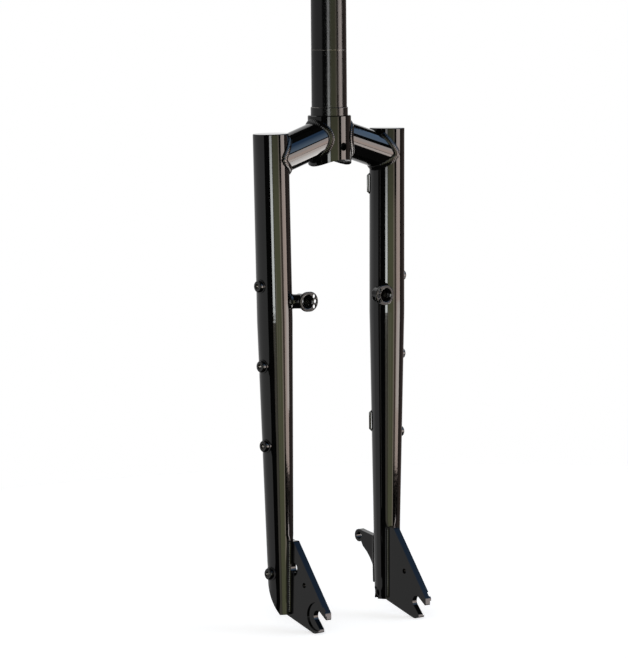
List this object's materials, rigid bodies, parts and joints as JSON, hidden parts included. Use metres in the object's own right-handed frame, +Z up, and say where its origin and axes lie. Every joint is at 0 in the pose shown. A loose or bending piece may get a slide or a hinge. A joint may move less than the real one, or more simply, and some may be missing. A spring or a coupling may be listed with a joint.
{
  "type": "bicycle fork",
  "caption": "Rigid steel bicycle fork with a straight steerer, splayed crown struts, tapered straight legs, slotted dropouts, a disc tab and bosses for brakes and cargo.",
  "frame": {"origin": "on the steerer axis, at the shoulder that the crown race rests on", "axes": "+X forward, the way the axle is offset; +Y to the rider's left; +Z up along the steerer"},
  "size_m": [0.0884, 0.154, 0.6689],
  "materials": {
    "black_enamel": "gloss"
  },
  "bodies": {
    "root": {"steerer_tube": "black_enamel", "crown_sleeve": "black_enamel", "disc_tab": "black_enamel", "disc_tab_weld": "black_enamel", "upper_hose_guide": "black_enamel", "lower_hose_guide": "black_enamel", "left_crown_strut": "black_enamel", "left_sleeve_weld": "black_enamel", "left_leg_weld": "black_enamel", "left_leg": "black_enamel", "left_leg_cap": "black_enamel", "left_dropout": "black_enamel", "left_dropout_weld": "black_enamel", "left_upper_cage_boss": "black_enamel", "left_middle_cage_boss": "black_enamel", "left_lower_cage_boss": "black_enamel", "left_rack_boss": "black_enamel", "left_brake_boss": "black_enamel", "right_crown_strut": "black_enamel", "right_sleeve_weld": "black_enamel", "right_leg_weld": "black_enamel", "right_leg": "black_enamel", "right_leg_cap": "black_enamel", "right_dropout": "black_enamel", "right_dropout_weld": "black_enamel", "right_upper_cage_boss": "black_enamel", "right_middle_cage_boss": "black_enamel", "right_lower_cage_boss": "black_enamel", "right_rack_boss": "black_enamel", "right_brake_boss": "black_enamel"}
  },
  "joints": []
}
